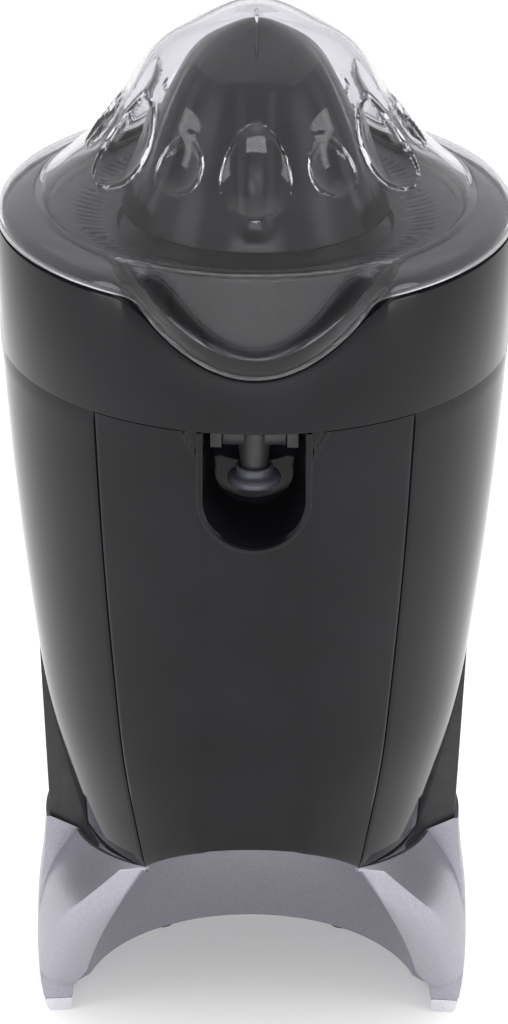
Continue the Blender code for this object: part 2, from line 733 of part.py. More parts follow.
def make_carriage(parts):
    cup = [(0, CARRIAGE_Z + 3.4), (10, CARRIAGE_Z + 3.4), (10, CARRIAGE_Z), (0, CARRIAGE_Z)]
    lathe("thrust_cup", cup, parts, 24, closed=False)
    low = MID_PLATE + 2 + GAP + SPRING_WIRE_R
    high = CARRIAGE_Z - GAP - SPRING_WIRE_R
    curve = bpy.data.curves.new("return_spring", "CURVE")
    curve.dimensions = "3D"
    curve.bevel_depth = SPRING_WIRE_R * MM
    curve.bevel_resolution = 0
    curve.use_fill_caps = True
    spline = curve.splines.new("POLY")
    count = 40
    spline.points.add(count - 1)
    for i, point in enumerate(spline.points):
        t = i / (count - 1)
        angle = 2 * math.pi * SPRING_TURNS * t
        point.co = (SPRING_R * MM * math.cos(angle), SPRING_R * MM * math.sin(angle),
                    (low + (high - low) * t) * MM, 1)
    add_object("return_spring", curve, parts)


def make_switch(parts):
    box("micro_switch", (-27, -3.2, MID_PLATE + 2.3), (-14, 3.2, 156.5), parts)
    box("switch_lever", (-24.5, -2.2, LEVER_Z - 0.5), (-8.2, 2.2, LEVER_Z + 0.5), parts)


# ---------------------------------------------------------------- motor

def make_motor(parts):
    core = rectangle(-24, 24, -20, 40)
    bolt_holes = [circle(SCREW_HOLE_R, (x, 0), 12) for x in (-MOTOR_BOLT_X, MOTOR_BOLT_X)]
    window = rectangle(-13.5, 13.5, 17, 30)
    outlines = [core, circle(ROTOR_R + 0.6, count=28), window] + bolt_holes
    plate("stator_core", outlines, STACK_LOW, STACK_HIGH, parts)
    coil = [rectangle(20, 49, 91.5, 130.5), rectangle(29.7, 40.3, 99.7, 122.3)]
    bobbin = plate("field_coil", coil, -12.8, 12.8, parts)
    bobbin.matrix_world = Matrix(((0, 0, 1, 0), (1, 0, 0, 0), (0, 1, 0, 0), (0, 0, 0, 1)))
    strap = rectangle(-24, 24, -7, 7)
    for name, low, bearing in (("upper", 126, 124.6), ("lower", 94, 93.2)):
        outlines = [strap, circle(4.5, count=20)] + bolt_holes
        plate("motor_bracket_" + name, outlines, low, low + 2, parts)
        ring = ring_profile(ROTOR_SHAFT_R + GAP, 4.2, bearing, bearing + 4)
        lathe("motor_bearing_" + name, ring, parts, 16)
    for name, x in (("left", -MOTOR_BOLT_X), ("right", MOTOR_BOLT_X)):
        bolt = [(0, 130.4), (3, 130.4), (3, 128.3), (1.6, 128.3), (1.6, 91), (0, 91)]
        lathe("motor_bolt_" + name, bolt, parts, 12, closed=False, centre=(x, 0))
    rotor = ring_profile(ROTOR_SHAFT_R + GAP, ROTOR_R, 99, 123)
    lathe("rotor_core", rotor, parts, 28)
    lathe("rotor_shaft", rod_profile(ROTOR_SHAFT_R, 78, 146), parts, 12, closed=False)
    pinion = [gear_outline(PINION_TEETH), circle(ROTOR_SHAFT_R + 0.2, count=12)]
    plate("motor_pinion", pinion, 138, 145.5, parts)
    make_fan(parts)


def make_fan(parts):
    """A radial fan: blades round a hub, as one outline with a bore."""
    outline = []
    for i in range(FAN_BLADES):
        start = 2 * math.pi * i / FAN_BLADES
        for radius, offset in ((6, 0.0), (24, 0.22), (24, 0.34), (6, 0.30)):
            angle = start + offset
            outline.append((radius * math.cos(angle), radius * math.sin(angle)))
    bore = circle(ROTOR_SHAFT_R + GAP, count=12)
    plate("cooling_fan", [outline, bore], 81, 90, parts)


# ---------------------------------------------------------------- assembly

MATERIAL_OF = {
    "gloss_black": ("front_panel", "side_panel_left", "side_panel_right", "juice_bowl",
                    "recess_liner"),
    "matte_black": ("rear_cover", "top_deck", "bottom_plate", "strainer", "spout_bracket",
                    "spout_tube", "micro_switch", "gearbox_base", "gearbox_mid_plate",
                    "gearbox_cover"),
    "smoked_cone": ("large_cone", "small_cone"),
    "clear": ("dust_cover",),
    "silver": ("base_stand", "toe_cap_left", "toe_cap_right"),
    "silicone": ("spout_tip",),
    "rubber": ("rear_foot_left", "rear_foot_right", "shaft_seal", "cord_gland"),
    "lamination": ("stator_core", "rotor_core"),
    "copper": ("field_coil",),
    "bronze": ("lower_bush", "upper_bush", "motor_bearing_upper", "motor_bearing_lower"),
    "nylon": ("idler_gear", "idler_pinion", "output_gear", "thrust_cup", "cooling_fan"),
}

# Moving groups: the empty's place on the joint's axis, and the pieces that it carries
MOVING = {
    "bowl_group": ((0, 0, BOWL_BOTTOM), ("juice_bowl", "strainer", "spout_bracket",
                                         "spout_pin_left", "spout_pin_right")),
    "cover_group": ((0, 0, BOWL_RIM), ("dust_cover",)),
    "spout_group": ((0, SPOUT_Y, SPOUT_Z), ("spout_tube", "spout_tip")),
    "carriage_group": ((0, 0, CARRIAGE_Z), ("thrust_cup", "return_spring")),
    "switch_group": ((-24, 0, LEVER_Z), ("switch_lever",)),
    "spindle_group": ((0, 0, OUTPUT_GEAR_Z), ("drive_shaft", "output_gear")),
    "cone_group": ((0, 0, CONE_BASE), ("small_cone", "large_cone")),
    "idler_group": ((0, CENTRE_DISTANCE, IDLER_GEAR_Z), ("idler_gear", "idler_pinion")),
    "rotor_group": ((0, 0, STACK_LOW), ("rotor_core", "rotor_shaft", "motor_pinion",
                                        "cooling_fan")),
}


def paint(parts):
    materials = make_materials()
    slot_of = {name: slot for slot, names in MATERIAL_OF.items() for name in names}
    for obj in parts.objects:
        obj.data.materials.clear()
        obj.data.materials.append(materials[slot_of.get(obj.name, "steel")])


def group_moving_pieces(collection):
    for name, (place, children) in MOVING.items():
        empty = add_object(name, None, collection)
        empty.location = Vector(place) * MM
        empty.empty_display_size = 0.02
        for child_name in children:
            child = bpy.data.objects[child_name]
            child.parent = empty
            child.matrix_parent_inverse = Matrix.Translation(Vector(place) * -MM)


def main():
    clear_scene()
    parts = make_collection("citrus_juicer")
    cutters = make_collection("cutters")
    frames = make_collection("moving_groups")
    make_front_panel(parts, cutters)
    make_recess_liner(parts, cutters)
    make_side_panel("side_panel_right", 1, parts)
    make_side_panel("side_panel_left", -1, parts)
    make_rear_cover(parts, cutters)
    make_cord_gland(parts)
    make_top_deck(parts, cutters)
    make_bottom_plate(parts, cutters)
    make_base_stand(parts, cutters)
    make_toe_cap("toe_cap_right", 1, parts)
    make_toe_cap("toe_cap_left", -1, parts)
    make_juice_bowl(parts, cutters)
    make_strainer(parts, cutters)
    make_large_cone(parts)
    make_small_cone(parts)
    make_dust_cover(parts)
    make_spout(parts, cutters)
    make_gearbox(parts)
    make_idler(parts)
    make_output(parts, cutters)
    make_carriage(parts)
    make_switch(parts)
    make_motor(parts)
    paint(parts)
    group_moving_pieces(frames)


main()
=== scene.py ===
"""Looks of the citrus press juicer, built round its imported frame.

Lengths are in millimetres and are scaled to metres when a mesh is made. Azimuths are in degrees
from the front, positive towards +X. A fine piece that stands for a CAD node follows its surface.
The recess rim and the two halves of the hinge barrel stand for no node of their own.
"""

import json
import math

import bmesh
import bpy
import numpy as np
from mathutils import Matrix, Vector


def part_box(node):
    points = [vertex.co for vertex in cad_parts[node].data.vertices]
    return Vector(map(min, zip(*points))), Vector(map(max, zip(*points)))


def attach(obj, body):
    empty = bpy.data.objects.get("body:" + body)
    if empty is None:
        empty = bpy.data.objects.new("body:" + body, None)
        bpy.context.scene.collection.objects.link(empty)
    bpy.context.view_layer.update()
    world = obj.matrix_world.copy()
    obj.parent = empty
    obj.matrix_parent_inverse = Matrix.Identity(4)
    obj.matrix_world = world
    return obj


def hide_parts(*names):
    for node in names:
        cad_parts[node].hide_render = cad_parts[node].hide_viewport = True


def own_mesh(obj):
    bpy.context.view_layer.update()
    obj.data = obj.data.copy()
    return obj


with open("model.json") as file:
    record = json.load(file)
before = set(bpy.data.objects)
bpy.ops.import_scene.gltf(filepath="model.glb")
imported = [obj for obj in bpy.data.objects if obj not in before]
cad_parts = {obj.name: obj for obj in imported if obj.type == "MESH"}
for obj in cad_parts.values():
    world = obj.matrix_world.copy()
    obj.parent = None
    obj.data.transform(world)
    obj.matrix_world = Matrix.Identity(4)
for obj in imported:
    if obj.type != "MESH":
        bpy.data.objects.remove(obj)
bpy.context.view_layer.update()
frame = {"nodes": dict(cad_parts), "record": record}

MM = 0.001


def reach(node, axis, high=True):
    """How far a CAD node goes along an axis, in millimetres."""
    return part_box(node)[1 if high else 0][axis] / MM


# Driving dimensions, from the frame
BOWL_R = reach("juice_bowl", 0)
BOWL_BOTTOM = reach("juice_bowl", 2, high=False)
BOWL_RIM = reach("juice_bowl", 2)
BODY_TOP = reach("front_panel", 2)
COVER_TOP = reach("dust_cover", 2)
CONE_BASE = reach("large_cone", 2, high=False)
CONE_APEX = reach("large_cone", 2)
BASE_RIM = reach("base_stand", 2)
TOE_CAP_HEIGHT = reach("toe_cap_left", 2)
SPRING_LOW = reach("return_spring", 2, high=False)
SPRING_HIGH = reach("return_spring", 2)

# Body and bowl
GAP = 0.3
WALL = 2.2
COVER_WALL = 1.6
PANEL_SEAM = 38.0
SEAM_HALF = 0.15
SPLIT_Y = -6.0
BOWL_EDGE = BOWL_RIM - 4.5
SCOOP_LOW = 228.6
SCOOP_CURVE = 0.0198
SCOOP_BLEND = 6.0  # heights closer than this are rounded into each other
INNER_WALL_R = 58.2
COLLAR_R = 12.7
SPOUT_Y = -52.5
RECESS_R = 14.2
RECESS_CENTRE_Z = 190.5
RECESS_BACK_Y = -42.0
FLARE_LOW = 201.0
FLARE_WIDTH = 5.4
FLARE_DEPTH = 1.0
FLARE_EDGE = 0.8
SPOUT_Z = 205.9

# Base
BASE_BOTTOM = 0.8
BASE_STEP = 50.0
TOE_AZIMUTH = 84.0
TOE_END = 98.0
TOE_INSET = 3.2  # how much the wall thins from inside at a toe
TOE_FADE = 7.0  # degrees over which it thins
INNER_BASE_R = 48.5
INNER_BASE_DRAFT = 2.2
ARCH_START = 39.0
ARCH_TOP = 64.0
REAR_START = 82.35

# Strainer slots
SIEVE_COLUMNS = 384
SLOT_SPACING = 4  # every fourth column is open
SLOT_LOW_R = 42.0
SLOT_HIGH_R = 48.0

# Cover and cone relief
DIMPLE_RADIUS = 40.6
LARGE_DIMPLE = (12.6, 9.0, 3.4)  # half length, half width and depth
SMALL_DIMPLE = (7.6, 6.3, 2.4)
RIB_STEP = 60.0  # degrees between the cone's ribs
RIB_HALF = 5.8
RIB_HEIGHT = 0.04  # of the cone's radius
MOULD_LINE = 0.12

# Return spring
SPRING_R = 6.2
SPRING_WIRE_R = 0.6
SPRING_TURNS = 4.5

# Camera and light
TARGET_Z = 156.2
ELEVATION = 25.29
CAMERA_DISTANCE = 1540.0
LENS = 195.7
ROLL = 0.31


# ---------------------------------------------------------------- curves

def spline(points):
    """A natural cubic curve through (x, y) points, held level beyond its ends."""
    x, y = np.array(points, float).T
    size = len(x)
    step = np.diff(x)
    system = np.eye(size)
    bend = np.zeros(size)
    for i in range(1, size - 1):
        system[i, i - 1:i + 2] = step[i - 1], 2 * (step[i - 1] + step[i]), step[i]
        bend[i] = 6 * ((y[i + 1] - y[i]) / step[i] - (y[i] - y[i - 1]) / step[i - 1])
    curve = np.linalg.solve(system, bend)

    def value(at):
        at = min(max(at, x[0]), x[-1])
        i = min(max(int(np.searchsorted(x, at)) - 1, 0), size - 2)
        left, right = at - x[i], x[i + 1] - at
        ends = (curve[i] * right ** 3 + curve[i + 1] * left ** 3) / (6 * step[i])
        start = (y[i] / step[i] - curve[i] * step[i] / 6) * right
        end = (y[i + 1] / step[i] - curve[i + 1] * step[i] / 6) * left
        return float(ends + start + end)
    return value


def polar(radius, azimuth, z):
    angle = math.radians(azimuth)
    return Vector((radius * math.sin(angle), -radius * math.cos(angle), z))


def steps(start, end, count):
    return [start + (end - start) * i / count for i in range(count + 1)]


def ease(value, low, high):
    """0 below low, 1 above high, and a smooth step between them."""
    t = min(max((value - low) / (high - low), 0.0), 1.0)
    return t * t * (3 - 2 * t)


def rounded(outline, radius, parts=3):
    """A closed outline with each corner turned into an arc of parts + 1 points."""
    result = []
    size = len(outline)
    for i in range(size):
        corner = Vector(outline[i])
        before = Vector(outline[i - 1]) - corner
        after = Vector(outline[(i + 1) % size]) - corner
        start = corner + before.normalized() * min(radius, 0.45 * before.length)
        end = corner + after.normalized() * min(radius, 0.45 * after.length)
        for k in range(parts + 1):
            t = k / parts
            result.append(tuple(start.lerp(corner, t).lerp(corner.lerp(end, t), t)))
    return result


cup_radius = spline([(50, 43.5), (61, 47.0), (72, 50.2), (83, 53.0), (101, 57.2), (121, 60.2),
                     (148, 63.5), (184, 67.0), (211, 69.0)])
cover_height = spline([(-11.2, COVER_TOP - 3.3), (-5.6, COVER_TOP - 0.8), (0, COVER_TOP),
                       (5.6, COVER_TOP - 0.8), (11.2, COVER_TOP - 3.3), (16.8, 299.3),
                       (22.4, 296.0), (28.0, 291.7), (32.2, 286.1), (36.4, 278.7),
                       (40.6, 272.4), (44.8, 266.9), (50.4, 261.0), (56.0, 255.8), (59.4, 253.0)])
cone_radius = spline([(CONE_BASE, 36.0), (251, 35.0), (256.5, 33.0), (261, 31.0), (269.6, 28.0),
                      (276.8, 25.2), (286, 20.6), (292.5, 15.8), (297, 10.0), (299.8, 4.8)])
front_base_radius = spline([(0, 59.0), (10, 60.6), (25, 61.3), (33, 61.1), (41, 60.0), (50, 57.0),
                            (58, 51.8), (65, 47.2)])
rear_base_radius = spline([(0, 59.0), (10, 60.6), (25, 61.3), (33, 61.1), (41, 60.7), (52, 59.4),
                           (BASE_RIM, 58.5)])


def rear_radius(z):
    return max(cup_radius(z), 57.2 + (z - 60) * 0.045)


def front_edge(azimuth):
    return 77.5 - 0.0087 * azimuth ** 2


def side_edge(azimuth):
    return 65.0 - 0.1 * (azimuth - PANEL_SEAM)


def scooped(radius, azimuth, level, depth=0.0):
    """Height of a surface at this radius, dipped smoothly where the front scoop passes below it."""
    if math.cos(math.radians(azimuth)) < 0.3:
        return level
    x = radius * math.sin(math.radians(azimuth))
    lean = math.sqrt(1 + (2 * SCOOP_CURVE * x) ** 2)
    scoop = SCOOP_LOW + SCOOP_CURVE * x * x - depth * lean
    overlap = max(SCOOP_BLEND - abs(level - scoop), 0.0) / SCOOP_BLEND
    return min(level, scoop) - overlap * overlap * SCOOP_BLEND / 4


# ---------------------------------------------------------------- meshes

def finish_mesh(name, bm, angle=42.0):
    bmesh.ops.remove_doubles(bm, verts=bm.verts, dist=0.000002)
    bmesh.ops.recalc_face_normals(bm, faces=bm.faces)
    mesh = bpy.data.meshes.new(name)
    bm.to_mesh(mesh)
    bm.free()
    mesh.shade_smooth()
    mesh.set_sharp_from_angle(angle=math.radians(angle))
    obj = bpy.data.objects.new(name, mesh)
    bpy.context.scene.collection.objects.link(obj)
    return obj


def skin(name, rows, around=False, closed=True, caps=False):
    """A surface through rows of points. closed joins each row's ends, around the first and last row."""
    bm = bmesh.new()
    grid = [[bm.verts.new(p * MM) for p in row] for row in rows]
    size = len(grid[0])
    for i in range(len(grid) if around else len(grid) - 1):
        a, b = grid[i], grid[(i + 1) % len(grid)]
        for j in range(size if closed else size - 1):
            k = (j + 1) % size
            bm.faces.new((a[j], a[k], b[k], b[j]))
    if caps:
        bm.faces.new(grid[0])
        bm.faces.new(grid[-1][::-1])
    return finish_mesh(name, bm)


def turned(name, profile, corner=0.3, count=96, centre=(0.0, 0.0)):
    """A turned piece from a closed (radius, height) outline, with its corners rounded."""
    offset = Vector((centre[0], centre[1], 0))
    outline = [(max(r, 0.0), z) for r, z in rounded(profile, corner)]
    rows = [[polar(r, 360 * i / count, z) + offset for r, z in outline] for i in range(count)]
    return skin(name, rows, around=True)


def wall_section(azimuth_at, radius_at, low, high, thickness, dip, count=56):
    """Closed section of a wall: down its outside and back up its inside."""
    levels = steps(high, low, count)
    section = []
    for i, z in enumerate(levels):
        end = 0.45 if i in (0, count) else 0.0
        section.append(polar(radius_at(z) - dip - end, azimuth_at(z), z))
    for z in reversed(levels):
        section.append(polar(radius_at(z) - thickness, azimuth_at(z), z))
    return section


def edge_fractions(count, width):
    """Fractions from 0 to 1 that are closer together at both ends, each with its edge dip."""
    pairs = [(0.0, 0.5), (0.3 * width, 0.12), (width, 0.0)]
    middle = [(t, 0.0) for t in steps(width, 1 - width, count)[1:-1]]
    return pairs + middle + [(1 - t, dip) for t, dip in reversed(pairs)]


# ---------------------------------------------------------------- body

def flare(x, z):
    """How far the front panel is pressed in beside the top of the recess."""
    edge = RECESS_R + FLARE_WIDTH * max(z - FLARE_LOW, 0.0) / (BODY_TOP - FLARE_LOW)
    return FLARE_DEPTH * ease(edge - abs(x), 0.0, FLARE_EDGE)


def recess_path(inset=0.0):
    """The U of the spout recess as (x, z), from its top left end round to its top right end."""
    side = steps(BODY_TOP, RECESS_CENTRE_Z, 24)
    left = [(-RECESS_R + inset, z) for z in side[:-1]]
    arc = []
    for angle in steps(180, 360, 56):
        x = (RECESS_R - inset) * math.cos(math.radians(angle))
        arc.append((x, RECESS_CENTRE_Z + (RECESS_R - inset) * math.sin(math.radians(angle))))
    right = [(-x, z) for x, z in reversed(left)]
    return left + arc + right


def panel_outline():
    """Azimuth and height round the front panel, matched point for point to recess_path."""
    seam = PANEL_SEAM - SEAM_HALF
    corner = front_edge(seam)
    split = 150.0
    upper = [(-seam, z) for z in steps(BODY_TOP, split, 24)[:-1]]
    lower = [(-seam, z) for z in steps(split, corner, 14)[:-1]]
    bottom = [(a, front_edge(a)) for a in steps(-seam, seam, 28)]
    left = upper + lower
    return left + bottom + [(-a, z) for a, z in reversed(left)]


def make_front_panel():
    rows = []
    for (x, z), (azimuth, edge_z) in zip(recess_path(), panel_outline()):
        start = math.degrees(math.asin(x / cup_radius(z)))
        span = math.hypot(edge_z - z, (azimuth - start) * math.radians(cup_radius(z)))
        outside, inside = [], []
        for t, dip in edge_fractions(30, 0.7 / span):
            a = start + (azimuth - start) * t
            height = z + (edge_z - z) * t
            pressed = flare(cup_radius(height) * math.sin(math.radians(a)), height)
            outside.append(polar(cup_radius(height) - max(dip, pressed), a, height))
            inside.append(polar(cup_radius(height) - WALL, a, height))
        rows.append(outside + inside[::-1])
    return skin("front_shell", rows, caps=True)


def make_recess():
    """The pocket behind the spout: its walls draw in towards a rounded back."""
    depths = steps(0, 1, 14)
    rows = []
    for (x, z) in recess_path():
        row = []
        for t in depths:
            shrink = 1 - 0.24 * t ** 0.8
            front = -math.sqrt(cup_radius(z) ** 2 - x * x) + 0.8
            y = front + (RECESS_BACK_Y - 2 - front) * math.sin(t * math.pi / 2)
            below = min(z - RECESS_CENTRE_Z, 0.0)
            row.append(Vector((x * shrink, y, z - below * (1 - shrink))))
        for t in steps(1, 0, 6)[1:]:
            edge = row[len(depths) - 1]
            below = min(edge.z - RECESS_CENTRE_Z, 0.0)
            row.append(Vector((edge.x * t, edge.y + 1.2 * (1 - t * t), edge.z - below * (1 - t))))
        rows.append(row)
    pocket = skin("recess_pocket", rows, closed=False)
    wall = pocket.modifiers.new("Wall", "SOLIDIFY")
    wall.thickness = 0.6 * MM
    wall.offset = 0
    return pocket


def make_recess_rim():
    """The raised bead that frames the recess."""
    rows = []
    path = recess_path(-0.2)
    for i, (x, z) in enumerate(path):
        before, after = path[max(i - 1, 0)], path[min(i + 1, len(path) - 1)]
        along = Vector((after[0] - before[0], after[1] - before[1])).normalized()
        across = Vector((-along.y, 0, along.x))
        centre = Vector((x, -math.sqrt(cup_radius(z) ** 2 - x * x) + 0.15, z))
        out = Vector((0, -1, 0))
        ring = [across * (0.95 * math.cos(a)) + out * (0.6 * math.sin(a))
                for a in steps(0, 2 * math.pi, 10)[:-1]]
        rows.append([centre + p for p in ring])
    return skin("recess_rim", rows, caps=True)


def make_side_panel(name, side):
    rows = []
    for s, dip in edge_fractions(40, 0.012):
        low = side_edge(PANEL_SEAM + s * 44)

        def azimuth_at(z, s=s):
            start = PANEL_SEAM + SEAM_HALF
            end = math.degrees(math.acos((-SPLIT_Y + 2 * GAP) / cup_radius(z)))
            return side * (start + (end - start) * s)
        rows.append(wall_section(azimuth_at, cup_radius, low, BODY_TOP, WALL, dip))
    return skin(name, rows, caps=True)


def make_rear_cover():
    levels = steps(BODY_TOP, BASE_STEP + GAP, 70)
    rows = []
    for s in [None] + steps(0, 1, 96) + [None]:
        outside, inside = [], []
        side = 1 if not rows else -1
        for z in levels:
            radius = rear_radius(z)
            start = math.degrees(math.acos(-SPLIT_Y / radius))
            if s is None:
                x = math.sqrt(cup_radius(max(z, 61)) ** 2 - SPLIT_Y ** 2) - 3.2
                outside.append(Vector((side * x, SPLIT_Y, z)))
                inside.append(Vector((side * x, SPLIT_Y + WALL, z)))
                continue
            azimuth = start + (360 - 2 * start) * s
            outside.append(polar(radius, azimuth, z))
            if s in (0, 1):
                corner = polar(radius, azimuth, z)
                inward = -WALL if corner.x > 0 else WALL
                inside.append(Vector((corner.x + inward, SPLIT_Y + WALL, z)))
            else:
                inside.append(polar(radius - WALL, azimuth, z))
        rows.append(outside + inside[::-1])
    cover = skin("rear_shell", rows, caps=True)
    soften = cover.modifiers.new("Edges", "BEVEL")
    soften.width = 0.4 * MM
    soften.segments = 2
    soften.angle_limit = math.radians(50)
    return cover


# ---------------------------------------------------------------- base

def arch_edge(azimuth):
    if azimuth < TOE_AZIMUTH:
        low = TOE_CAP_HEIGHT + 3
        slope = (ARCH_TOP - low) / (TOE_AZIMUTH - ARCH_START)
        return max(ARCH_TOP - slope * (azimuth - ARCH_START), low)
    return TOE_CAP_HEIGHT + GAP if azimuth < TOE_END + 0.3 else BASE_BOTTOM


def inner_base_radius(z):
    return INNER_BASE_R - INNER_BASE_DRAFT * z / ARCH_TOP


def toe_inset(azimuth):
    """How far the foot of the wall is set out from its inner radius, near the toes."""
    away = max(TOE_AZIMUTH - azimuth, azimuth - TOE_END - 0.5, 0.0)
    return TOE_INSET * max(1 - away / TOE_FADE, 0.0)


def base_section(azimuth):
    """Closed section of the base's wall, as (radius, height)."""
    rear = azimuth > REAR_START - 0.1
    radius_at = rear_base_radius if rear else front_base_radius
    top = BASE_RIM if rear else side_edge(azimuth) - 0.4
    bottom = min(arch_edge(azimuth), top - 1.6)
    in_arch = azimuth < TOE_AZIMUTH
    round_height = min(9.0, 0.8 * (top - bottom)) if in_arch else 1.5
    inset = toe_inset(azimuth)
    inner = inner_base_radius(bottom) + inset
    edge = radius_at(bottom + round_height)
    round_width = 0.75 * (edge - inner) if in_arch else 1.5
    points = [(radius_at(z), z) for z in steps(top, bottom + round_height, 16)]
    for angle in steps(0, 90, 8)[1:]:
        points.append((edge - round_width * (1 - math.cos(math.radians(angle))),
                       bottom + round_height * (1 - math.sin(math.radians(angle)))))
    points += [(inner + 1.1, bottom), (inner + 0.2, bottom + 0.5), (inner, bottom + 1.2)]
    inner_top = BASE_STEP if rear else top
    for t in (0.35, 0.7):
        z = bottom + (inner_top - bottom) * t
        points.append((inner_base_radius(z) + inset * (1 - t), z))
    if rear:
        points += [(46.6, BASE_STEP), (57.5, BASE_STEP), (57.5, BASE_RIM)]
    else:
        wall = min(1.5, radius_at(top) - inner_base_radius(top))
        points += [(radius_at(top) - wall, top - 0.3), (radius_at(top) - wall + 0.2, top - 0.15),
                   (radius_at(top) - wall + 0.4, top)]
    return points


def make_base():
    front = steps(PANEL_SEAM + 0.3, 82.0, 64)
    half = front + [REAR_START, 83.6, TOE_AZIMUTH] + steps(86, TOE_END + 0.2, 6)
    half += [TOE_END + 0.5] + steps(102, 180, 40)
    azimuths = half + [360 - a for a in half[-2::-1]]
    rows = []
    for azimuth in azimuths:
        local = azimuth if azimuth <= 180 else 360 - azimuth
        rows.append([polar(r, azimuth, z) for r, z in base_section(local)])
    return skin("arched_base", rows, caps=True)


def make_toe(name, side):
    outline = rounded(((52.0, 0), (58.0, 0), (59.0, 1.2), (59.6, TOE_CAP_HEIGHT),
                       (51.8, TOE_CAP_HEIGHT)), 0.5)
    rows = []
    for azimuth in steps(TOE_AZIMUTH + 0.3, TOE_END, 16):
        rows.append([polar(r, side * azimuth, z) for r, z in outline])
    return skin(name, rows, caps=True)


# ---------------------------------------------------------------- bowl, strainer and cones

def ring_azimuths():
    return steps(-60, 60, 160)[:-1] + steps(60, 300, 120)[:-1]


def make_bowl():
    depth = COVER_WALL + 0.4
    rows = []
    for azimuth in ring_azimuths():
        edge = scooped(BOWL_R, azimuth, BOWL_EDGE, depth)
        shoulder = scooped(68, azimuth, BOWL_EDGE + 0.4, depth)
        web = scooped(59, azimuth, 249.3, depth)
        outline = [(69.3, BOWL_BOTTOM), (BOWL_R, edge), (68, shoulder), (59.1, web),
                   (INNER_WALL_R, web + 0.5), (INNER_WALL_R, BOWL_RIM), (56.6, BOWL_RIM),
                   (55.7, 221), (53.6, 216.2), (16.5, 218.0), (14.5, 236), (COLLAR_R, 236),
                   (COLLAR_R, 214), (55.9, 214), (57.8, 216), (57.8, web - 2.2),
                   (67.6, edge - 2.0), (67.2, BOWL_BOTTOM)]
        rows.append([polar(r, azimuth, z) for r, z in rounded(outline, 0.5, 2)])
    return skin("bowl_ring", rows, around=True)


def make_strainer():
    """The strainer as a sheet, with a ring of narrow slots left open."""
    radii = [(15.6, 245.4), (15.6, 241.0), (37.0, 241.0), (37.8, 243.2)]
    radii += [(r, 243.2 + (r - 37.8) * 0.21) for r in steps(39.5, 53, 9)]
    radii += [(54.7, 246.8), (55.0, 248.8)]
    bm = bmesh.new()
    grid = [[bm.verts.new(polar(r, 360 * i / SIEVE_COLUMNS, z) * MM)
             for i in range(SIEVE_COLUMNS)] for r, z in radii]
    for row, (a, b) in enumerate(zip(grid, grid[1:])):
        slotted = SLOT_LOW_R < (radii[row][0] + radii[row + 1][0]) / 2 < SLOT_HIGH_R
        for i in range(SIEVE_COLUMNS):
            if slotted and i % SLOT_SPACING == 0:
                continue
            k = (i + 1) % SIEVE_COLUMNS
            bm.faces.new((a[i], a[k], b[k], b[i]))
    sieve = finish_mesh("strainer_sieve", bm)
    wall = sieve.modifiers.new("Wall", "SOLIDIFY")
    wall.thickness = 1.1 * MM
    wall.offset = 0
    return sieve


def make_cone():
    rows = []
    for z in steps(299.6, CONE_BASE, 90):
        row = []
        for azimuth in steps(0, 360, 240)[:-1]:
            away = cone_radius(z) * math.radians(abs(azimuth - RIB_STEP * round(azimuth / RIB_STEP)))
            rib = 1 - ease(away, 1.5, RIB_HALF)
            fade = ease(z, 250.0, 256.0) * (1 - ease(z, 294.0, 299.0))
            row.append(polar(cone_radius(z) * (1 + RIB_HEIGHT * fade * rib), azimuth, z))
        rows.append(row)
    tip = [[polar(r, a, CONE_APEX - drop) for a in steps(0, 360, 240)[:-1]]
           for r, drop in ((0.0, 0.0), (1.8, 0.2), (3.6, 0.8))]
    cone = skin("ribbed_cone", tip + rows)
    wall = cone.modifiers.new("Wall", "SOLIDIFY")
    wall.thickness = 1.4 * MM
    wall.offset = -1
    return cone


def make_small_cone():
    profile = [(0, 288.5), (7, 286.3), (14, 280.5), (19.5, 271), (23.2, 260), (25.5, 250.3),
               (32.0, 250.3), (32.0, CONE_BASE), (23.6, CONE_BASE), (21.3, 260), (17.8, 269.5),
               (12.5, 278), (8.4, 281.2), (8.4, 262), (5.9, 262), (5.9, 283.5), (0, 283.5)]
    return turned("nested_cone", profile, corner=0.8)


def dimple(radius, azimuth):
    """How far the cover is pressed in at a place: large and small ovals take turns round it."""
    place = round(azimuth / 30)
    length, width, depth = SMALL_DIMPLE if place % 2 else LARGE_DIMPLE
    along = (radius - DIMPLE_RADIUS) * 1.72 / length
    across = DIMPLE_RADIUS * math.radians(azimuth - 30 * place) / width
    distance = along * along + across * across
    if distance < 1:
        return depth * (1 - distance) ** 0.9
    return -0.35 * math.exp(-((distance - 1) / 0.12) ** 2)


def make_cover():
    azimuths = steps(-180, 180, 360)[:-1]
    lean = math.radians(35)
    rows = []
    for r in [0.0] + steps(0.8, 57.6, 84):
        row = []
        for a in azimuths:
            press = dimple(r, a) * ease(r, 22, 27)
            if a == 0 and 3 < r < 27:
                press -= MOULD_LINE
            row.append(polar(r - press * math.cos(lean), a, cover_height(r) - press * math.sin(lean)))
        rows.append(row)
    rows += [[polar(r, a, z) for a in azimuths] for r, z in ((58.4, 253.4), (59.3, 252.9), (60.1, 252.4))]
    for t in steps(0.05, 1, 14):
        row = []
        for a in azimuths:
            low = scooped(60.2, a, 252.3)
            row.append(polar(60.1 + 0.5 * t, a, 252.4 + (low - 252.4) * t))
        rows.append(row)
    lip = ((61.5, 252.2), (63, 252.0), (65, 251.6), (67, 251.0), (68.4, 250.2), (69.2, 249.4),
           (69.7, 248.4), (BOWL_R, 246.8))
    for r, z in lip:
        rows.append([polar(r, a, scooped(r, a, z)) for a in azimuths])
    cover = skin("clear_cover", rows)
    wall = cover.modifiers.new("Wall", "SOLIDIFY")
    wall.thickness = COVER_WALL * MM
    wall.offset = -1
    return cover


# ---------------------------------------------------------------- spout and drive

